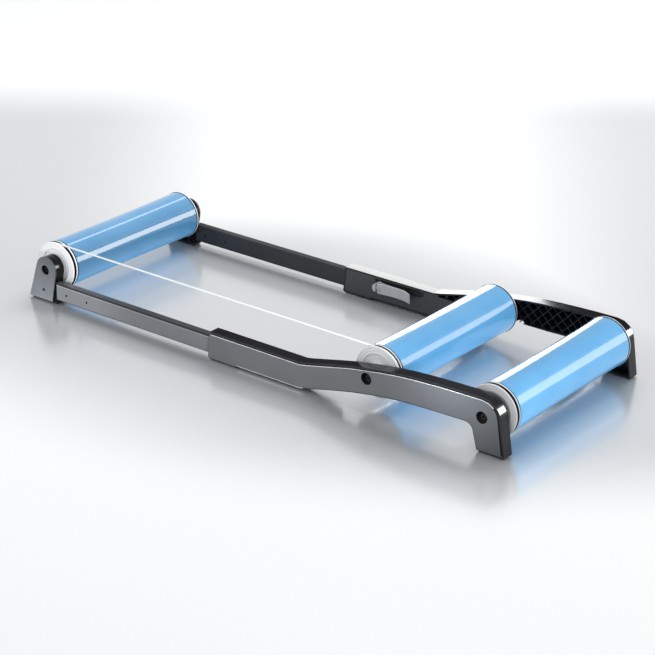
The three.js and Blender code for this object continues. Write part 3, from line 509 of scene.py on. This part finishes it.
# Ball bearings: one pressed in each cap's hub. Two ground steel races with a dark pressed shield let in
# between them on both faces.
race_outer, race_inner, bearing_width, bearing_inset = 0.014, 0.00625, 0.008, 0.002
shield_inner, shield_outer, shield_drop = 0.0083, 0.0121, 0.0006
shield_finish = grained("dark_bearing_shield", (0.03, 0.03, 0.033), (0.05, 0.05, 0.055), (0.35, 0.5), 60, 1800,
                        0.00001, 0.6)
race_steels = {place: lathed(f"ground_{place}_race_steel", (0.42, 0.43, 0.45), (0.52, 0.53, 0.55), (0.2, 0.32),
                             x, 2600, 0.00002, 1.0) for place, x in drum_places.items()}
for place, x in drum_places.items():
    for side, sign in (("left", -1), ("right", 1)):
        face, back = bearing_inset, bearing_inset + bearing_width
        profile = [(race_inner, face), (shield_inner, face), (shield_inner, face + shield_drop),
                   (shield_outer, face + shield_drop), (shield_outer, face), (race_outer, face),
                   (race_outer, back), (shield_outer, back), (shield_outer, back - shield_drop),
                   (shield_inner, back - shield_drop), (shield_inner, back), (race_inner, back)]
        shape = turned([(radius, sign * (drum_face - depth)) for radius, depth in profile], x, 0.0002, steps=64)
        for one in shape.faces:
            middle = one.calc_center_median()
            radius = math.hypot(middle.x - x, middle.z - axle_height)
            depth = drum_face - sign * middle.y
            sunk = face + shield_drop / 2 < depth < back - shield_drop / 2
            one.material_index = 1 if sunk and shield_inner < radius < shield_outer else 0
        make_piece(f"{side}_{place}_ball_bearing", shape, [race_steels[place], shield_finish], f"{place}_drum",
                   f"{side}_{place}_bearing")


# Axles: bright steel rods, thick between the bearings and turned down at both ends, which are tapped for
# the axle screws.
axle_radius, journal_radius, thread_radius, thread_depth = 0.008, 0.006, 0.0043, 0.022
end_chamfer, shoulder_gap = 0.0006, 0.0003
axle_bodies = {"front": "front_frame", "middle": "rear_frame", "rear": "rear_frame"}
for place, x in drum_places.items():
    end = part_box(f"{place}_axle")[1].y
    shoulder = drum_face - bearing_inset - bearing_width - shoulder_gap
    half = [(thread_radius, end - thread_depth), (thread_radius, end), (journal_radius - end_chamfer, end),
            (journal_radius, end - end_chamfer), (journal_radius, shoulder),
            (axle_radius - end_chamfer, shoulder), (axle_radius, shoulder - end_chamfer)]
    tip = [(0, end - thread_depth)]
    profile = [(radius, -y) for radius, y in tip + half] + list(reversed(tip + half))
    shape = half_section([(x + radius, y, axle_height) for radius, y in profile])[0]
    spin_round(shape, (x, 0, axle_height), (0, 1, 0), 48)
    make_piece(f"{place}_drum_axle", shape, [race_steels[place]], axle_bodies[place], f"{place}_axle")


# Side arms: long glossy black mouldings, open on the inboard side, where crossed ribs stiffen them. The
# outer face is satin grey. Along the top and the heel it ends in a step coloured pale as a painted highlight,
# and its rim lies lower behind that in a darker black that is painted shade. The lower edge of the sleeve has
# the same painted highlight, and each screw recess is chamfered.
def eased_copy(node_name, edge_radius, sharper_than=30, chosen=None):
    """The CAD node's solid, merged to whole faces, with its sharp edges, or the chosen ones, rounded."""
    shape = bmesh.new()
    shape.from_mesh(nodes[node_name].data)
    bmesh.ops.remove_doubles(shape, verts=shape.verts, dist=2e-6)
    bmesh.ops.dissolve_limit(shape, angle_limit=math.radians(0.5), verts=shape.verts, edges=shape.edges,
                             use_dissolve_boundaries=False)
    for face in shape.faces:
        face.material_index = 0
    if edge_radius:
        sharp = [edge for edge in shape.edges
                 if edge.is_manifold and edge.calc_face_angle() > math.radians(sharper_than)
                 and (chosen is None or chosen(edge))]
        bmesh.ops.bevel(shape, geom=sharp, offset=edge_radius, offset_type="OFFSET", segments=2,
                        profile=0.5, affect="EDGES", clamp_overlap=True, material=-1)
    return shape


def eased_piece(name, node_name, edge_radius, finish, body, sharper_than=30, smooth_below=32):
    """A piece of one finish that is the CAD node's solid with its sharp edges rounded."""
    make_piece(name, eased_copy(node_name, edge_radius, sharper_than), [finish], body, node_name,
               smooth_below, weighted=True)


# Where these finishes stand in the list of each piece that has them.
satin, painted_highlight_step = 1, 2


def finish_face(shape, face_depth, outward, rim, step_width, step_depth, chosen, black):
    """Makes the flat outer face satin, and where chosen sinks its rim in black behind a painted highlight step.
    """
    flat = [face for face in shape.faces if face.normal.y * outward > 0.98
            and abs(face.calc_center_median().y) > face_depth - 0.0005]
    rims = bmesh.ops.inset_region(shape, faces=flat, thickness=rim, use_boundary=True,
                                  use_even_offset=True)["faces"]
    inside = set(flat) | set(rims)
    sunk = []
    for face in rims:
        border = max((edge for edge in face.edges if any(one not in inside for one in edge.link_faces)),
                     key=lambda edge: edge.calc_length())
        middle = (border.verts[0].co + border.verts[1].co) / 2
        way_out = (middle - face.calc_center_median()).normalized()
        if chosen(middle, way_out):
            sunk.append(face)
    steps = bmesh.ops.inset_region(shape, faces=flat, thickness=step_width, use_boundary=True,
                                   use_even_offset=True)["faces"]
    low = {vert for face in sunk for vert in face.verts}
    for vert in low:
        vert.co.y -= outward * step_depth
    for face in flat + rims + steps:
        face.material_index = satin
    for face in sunk:
        face.material_index = black
    for face in steps:
        face.normal_update()
        if sum(vert in low for vert in face.verts) > 1:
            face.material_index = painted_highlight_step if face.normal.z > 0.6 else black


arm_gloss = grained("gloss_black_moulding", (0.013, 0.013, 0.015), (0.017, 0.017, 0.019), (0.12, 0.16), 10, 500,
                    0.000001, specular=0.38)
arm_satin = grained("satin_grey_face", (0.105, 0.110, 0.117), (0.117, 0.122, 0.129), (0.38, 0.44), 8, 1800,
                    0.00002, specular=0.2)
# A pale colour on the steps and the sleeve's lower edge that is a painted highlight.
edge_painted_highlight = grained("painted_highlight_step_edge", (0.55, 0.56, 0.58), (0.66, 0.67, 0.69), (0.3, 0.4), 40, 1500, 0.00001)
# A darker black on the sunk rim behind the step that is painted shade.
rim_painted_shade = grained("sunk_painted_shade_rim", (0.004, 0.004, 0.005), (0.007, 0.007, 0.008), (0.4, 0.5), 10, 1500,
                    0.00001, specular=0.15)
sunk_painted_shade = 3
arm_face, recess_radius = 0.258, 0.0135
mouth_end, lip_end, arch_start = -0.106, -0.026, 0.2


def from_recess(point):
    """How far a point is from the line of the nearer axle screw."""
    return min(math.hypot(point.x - drum_places[place], point.z - axle_height) for place in ("middle", "rear"))


def recess_rim(edge):
    """Whether an edge runs round the mouth of a screw recess."""
    middle = (edge.verts[0].co + edge.verts[1].co) / 2
    return abs(middle.y) > arm_face - 0.0005 and from_recess(middle) < recess_radius + 0.001


def crown_or_heel(middle, way_out):
    """Whether a strip of the rim lies along the arm's top or down its heel."""
    clear = from_recess(middle) > recess_radius + 0.003
    return clear and (way_out.z > 0.2 or way_out.x > 0.8 and middle.x > 0.6)


for side, outward in (("left", -1), ("right", 1)):
    shape = eased_copy(f"{side}_arm", 0.0009, chosen=recess_rim)
    # On the arms the sunk rim takes the darker black, painted shade.
    finish_face(shape, arm_face, outward, 0.0025, 0.0008, 0.0011, crown_or_heel, sunk_painted_shade)
    for face in shape.faces:
        middle = face.calc_center_median()
        faces_out = face.normal.y * outward
        at_mouth = middle.x < mouth_end + 0.004 and abs(face.normal.z) < 0.5 and faces_out > 0.3
        in_rim = (abs(middle.y) > arm_face - 0.001 and 0.3 < faces_out < 0.95
                  and from_recess(middle) < recess_radius + 0.002)
        # The sleeve's lower rounding gets the pale step colour as a painted highlight.
        lower_edge_painted_highlight = face.normal.z < -0.25 and abs(face.normal.y) > 0.25 and lip_end < middle.x < arch_start
        if lower_edge_painted_highlight:
            face.material_index = painted_highlight_step
        elif at_mouth or in_rim:
            face.material_index = satin
    make_piece(f"{side}_side_arm", shape, [arm_gloss, arm_satin, edge_painted_highlight, rim_painted_shade], "rear_frame",
               f"{side}_arm", smooth_below=50, weighted=True)


# Axle screws: black oxidised socket-head screws, sunk in the recesses of the arms and the front feet.
# They pull the axle ends against the seats.
screw_finish = grained("black_oxide_steel", (0.025, 0.025, 0.028), (0.045, 0.045, 0.05), (0.28, 0.42), 60, 2200,
                       0.00001, 0.8)
for side in ("left", "right"):
    for place in drum_places:
        eased_piece(f"{side}_{place}_socket_screw", f"{side}_{place}_axle_screw", 0.0005, screw_finish,
                    axle_bodies[place], sharper_than=40)


# Foot pads: moulded black rubber blocks, one under each end of each side. They are pushed into pockets in
# the undersides of the feet, and the machine stands on them.
foot_rubber = grained("foot_rubber", (0.018, 0.018, 0.018), (0.03, 0.03, 0.03), (0.75, 0.9), 30, 1200, 0.00012)
for side in ("left", "right"):
    for end, body in (("rear", "rear_frame"), ("front", "front_frame")):
        eased_piece(f"{side}_{end}_rubber_pad", f"{side}_{end}_foot_pad", 0.0008, foot_rubber, body)


# Clamp covers: thin satin dark grey panels let into the sleeve's inboard face. The opening above the
# lever is the finger pocket, and the small one below it lets the cam's lower cheek reach the shoe.
cover_finish = grained("satin_dark_panel", (0.045, 0.048, 0.054), (0.056, 0.06, 0.066), (0.36, 0.46), 12, 1500,
                       0.00003)
for side in ("left", "right"):
    eased_piece(f"{side}_sleeve_cover", f"{side}_clamp_cover", 0.0004, cover_finish, "rear_frame")


# Clamp shoes and bar glides: self-coloured black nylon. The shoe lies between the cam and the bar; the
# glide plugs the bar's inner end and keeps it from knocking in the sleeve.
nylon = grained("matt_black_nylon", (0.014, 0.014, 0.015), (0.024, 0.024, 0.026), (0.45, 0.6), 25, 1500,
                0.00004)
for side in ("left", "right"):
    eased_piece(f"{side}_cam_shoe", f"{side}_clamp_shoe", 0.0003, nylon, "rear_frame")
    eased_piece(f"{side}_tube_glide", f"{side}_bar_glide", 0.0003, nylon, "front_frame")


# Clamp levers and their brackets: die-cast and bead-blasted light alloy. The half-round bracket carries
# an eye for the upright pin, and the lever's forked head is the cam that presses the shoe on the bar.
cast_finish = grained("blasted_cast_alloy", (0.48, 0.495, 0.51), (0.57, 0.585, 0.6), (0.34, 0.44), 35, 1900,
                      0.00005, 0.35)
for side in ("left", "right"):
    eased_piece(f"{side}_cast_bracket", f"{side}_lever_bracket", 0.0005, cast_finish, "rear_frame",
                sharper_than=34)
    eased_piece(f"{side}_cam_lever", f"{side}_lever", 0.0005, cast_finish, f"{side}_lever",
                sharper_than=34, smooth_below=40)


# Lever pins: bright steel, turned with a domed head. Each stands upright through the lever's fork and the
# bracket's eye, and the lever swings on it.
pin_steel = grained("bright_pin_steel", (0.48, 0.49, 0.51), (0.56, 0.57, 0.59), (0.18, 0.28), 80, 2400, 0.00001,
                    1.0)
pin_radius, pin_tip_chamfer = 0.003, 0.0004
pin_head_radius, pin_head_height, pin_head_rim, pin_head_chamfer = 0.0047, 0.004, 0.0012, 0.0003
dome_steps = 6
for side in ("left", "right"):
    low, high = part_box(f"{side}_lever_pin")
    pin_x, pin_y = (low.x + high.x) / 2, (low.y + high.y) / 2
    head = high.z - pin_head_height
    profile = [(0, low.z), (pin_radius - pin_tip_chamfer, low.z), (pin_radius, low.z + pin_tip_chamfer),
               (pin_radius, head), (pin_head_radius - pin_head_chamfer, head),
               (pin_head_radius, head + pin_head_chamfer)]
    for i in range(dome_steps + 1):
        turn = math.radians(90 * i / dome_steps)
        profile.append((pin_head_radius * math.cos(turn) if i < dome_steps else 0,
                        head + pin_head_rim + (pin_head_height - pin_head_rim) * math.sin(turn)))
    shape = half_section([(pin_x + radius, pin_y, z) for radius, z in profile])[0]
    spin_round(shape, (pin_x, pin_y, 0), (0, 0, 1), 32)
    make_piece(f"{side}_domed_pin", shape, [pin_steel], "rear_frame", f"{side}_lever_pin")


# Sliding bars: rectangular steel tubes with rounded corners, powder-coated black, with a satin grey
# outer face whose upper rim is a low black step with a painted highlight on its edge, and a darker copy of the
# satin on the top as painted shade. They run out of the sleeves and set the distance to the front drum.
bar_black = grained("black_bar_coat", (0.016, 0.017, 0.019), (0.023, 0.024, 0.027), (0.3, 0.38), 9, 1100,
                    0.00003)
bar_satin = grained("satin_bar_face", (0.195, 0.204, 0.217), (0.222, 0.231, 0.245), (0.34, 0.42), 9, 1300,
                    0.00002, 0.2)
# A darker copy of the satin face on the bar's top that is painted shade.
bar_top_painted_shade = grained("painted_shade_satin_bar_top", (0.06, 0.063, 0.068), (0.08, 0.083, 0.09), (0.34, 0.42), 9, 1300,
                         0.00002)
coat_black, top_painted_shade = 0, 3
bar_face, bar_top = 0.2535, 0.056


def top_edge(middle, way_out):
    """Whether a strip of the rim lies along the bar's top."""
    return way_out.z > 0.5 and middle.z > 0.05


for side, outward in (("left", -1), ("right", 1)):
    shape = eased_copy(f"{side}_bar", 0.0)
    finish_face(shape, bar_face, outward, 0.0023, 0.0005, 0.0007, top_edge, coat_black)
    for face in shape.faces:
        if face.normal.z > 0.98 and face.calc_center_median().z > bar_top - 0.0005:
            face.material_index = top_painted_shade
    make_piece(f"{side}_sliding_bar", shape, [bar_black, bar_satin, edge_painted_highlight, bar_top_painted_shade], "front_frame",
               f"{side}_bar", smooth_below=50, weighted=True)


# Bar pins: two plain steel cross pins in each bar. They hold the front foot's tongue and lie a little
# below both faces.
for side in ("left", "right"):
    for end in ("front", "rear"):
        eased_piece(f"{side}_{end}_cross_pin", f"{side}_bar_pin_{end}", 0.0004, screw_finish, "front_frame",
                    sharper_than=50, smooth_below=50)


# Front feet: a gloss black moulding with the axle's seat and the tongue that plugs the bar, and a dark
# satin grey plate screwed on its outer side.
plate_finish = grained("satin_grey_plate", (0.064, 0.069, 0.077), (0.078, 0.083, 0.092), (0.32, 0.42), 14, 1600,
                       0.00003, 0.15)
foot_black = grained("black_foot_moulding", (0.008, 0.008, 0.009), (0.011, 0.011, 0.012), (0.14, 0.2), 10, 900,
                     0.000004, specular=0.15)
for side in ("left", "right"):
    eased_piece(f"{side}_foot_moulding", f"{side}_front_foot_body", 0.0006, foot_black, "front_frame",
                sharper_than=40)
    eased_piece(f"{side}_foot_side_plate", f"{side}_front_foot_plate", 0.0003, plate_finish, "front_frame",
                sharper_than=40)
    eased_piece(f"{side}_plate_fixing_screw", f"{side}_plate_screw", 0.0003, screw_finish, "front_frame",
                sharper_than=50, smooth_below=50)


# Drive belt: a round polyurethane cord welded into a ring, stretched round the grooves of the front
# and middle drums. It follows both, so it stays on them while the bars slide.
belt_radius, belt_run_radius = 0.002, 0.054
belt_side = groove_middle - drum_face
belt_finish = grained("pale_cord", (0.92, 0.94, 0.96), (0.95, 0.97, 0.98), (0.22, 0.32), 15, 900, 0.00001)
shape = bmesh.new()
bmesh.ops.create_circle(shape, segments=16, radius=belt_radius, matrix=Matrix.Translation(
    (drum_places["middle"], belt_side, axle_height + belt_run_radius)) @ Matrix.Rotation(math.pi / 2, 4, "Y"))


def wrap(ring, x):
    """Takes the cord's end ring half round the drum at x."""
    made = bmesh.ops.spin(shape, geom=ring, cent=(x, 0, axle_height), axis=(0, 1, 0), angle=math.pi,
                          steps=48, use_duplicate=False)
    return [item for item in made["geom_last"] if isinstance(item, bmesh.types.BMEdge)]


def run_straight(ring, way):
    """Takes the cord's end ring straight on along the machine."""
    made = bmesh.ops.extrude_edge_only(shape, edges=ring)
    moved = [item for item in made["geom"] if isinstance(item, bmesh.types.BMVert)]
    bmesh.ops.translate(shape, verts=moved, vec=(way, 0, 0))
    return [item for item in made["geom"] if isinstance(item, bmesh.types.BMEdge)
            and all(end in moved for end in item.verts)]


ring = wrap(shape.edges[:], drum_places["middle"])
ring = run_straight(ring, drum_places["front"] - drum_places["middle"])
ring = wrap(ring, drum_places["front"])
ring = run_straight(ring, drum_places["middle"] - drum_places["front"])
bmesh.ops.remove_doubles(shape, verts=shape.verts, dist=1e-5)
bmesh.ops.recalc_face_normals(shape, faces=shape.faces)
for face in shape.faces:
    face.smooth = True
belt = new_object("belt_ring", shape, [belt_finish])
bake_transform(belt)
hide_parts("drive_belt")


# What each lamp and panel lights: screens on a real stand would keep it off the other pieces. The bounce
# lamps under the floor light one drum tube each, and only that tube stops their light, so that it comes
# up through the floor.
def light_only(lamp, pieces):
    """Keeps a lamp's light to the pieces it is for."""
    group = bpy.data.collections.new(lamp.name + "_receivers")
    for piece in pieces:
        group.objects.link(piece)
    lamp.light_linking.receiver_collection = group


machine = [piece for piece in scene.objects if piece.type == "MESH" and piece not in (floor, flag)]
tubes = {place: bpy.data.objects[f"{place}_drum_coated_tube"] for place in drum_places}
near_arm, far_arm = bpy.data.objects["left_side_arm"], bpy.data.objects["right_side_arm"]
near_plate, near_bar = bpy.data.objects["left_foot_side_plate"], bpy.data.objects["left_sliding_bar"]
near_foot = bpy.data.objects["left_foot_moulding"]
near_caps = {place: bpy.data.objects[f"{place}_drum_grooved_cap"] for place in drum_places}
far_caps = [bpy.data.objects[f"{place}_drum_end_cap"] for place in ("middle", "rear")]
unfilled = [tubes["front"], near_arm, far_arm, near_plate, near_foot, near_caps["middle"], near_caps["rear"],
            *far_caps]
unstreaked = [tubes["front"], near_arm, far_arm, near_foot]
light_only(fill_lamp, [piece for piece in machine if piece not in unfilled])
light_only(sleeve_spot, [near_arm])
light_only(crown_spot, [near_arm])
light_only(foot_spot, [near_plate])
light_only(bar_spot, [near_bar])
light_only(cap_spot, [near_caps["front"]])
light_only(middle_cap_spot, [near_caps["middle"]])
light_only(rear_cap_spot, [near_caps["rear"]])
light_only(streak_panel, [piece for piece in machine if piece not in unstreaked])
light_only(front_streak_panel, [tubes["front"]])
light_only(glint_panel, [near_arm, far_arm, near_foot])
light_only(rim_panel, [tubes["middle"], tubes["rear"], far_arm])
light_only(line_panel, [tubes["front"]])
light_only(haze_panel, [tubes["middle"], tubes["rear"]])
light_only(front_haze_panel, [tubes["front"]])
light_only(floor_panel, [floor])
for place, lamp in bounce_lamps.items():
    light_only(lamp, [tubes[place]])
    lamp.light_linking.blocker_collection = lamp.light_linking.receiver_collection
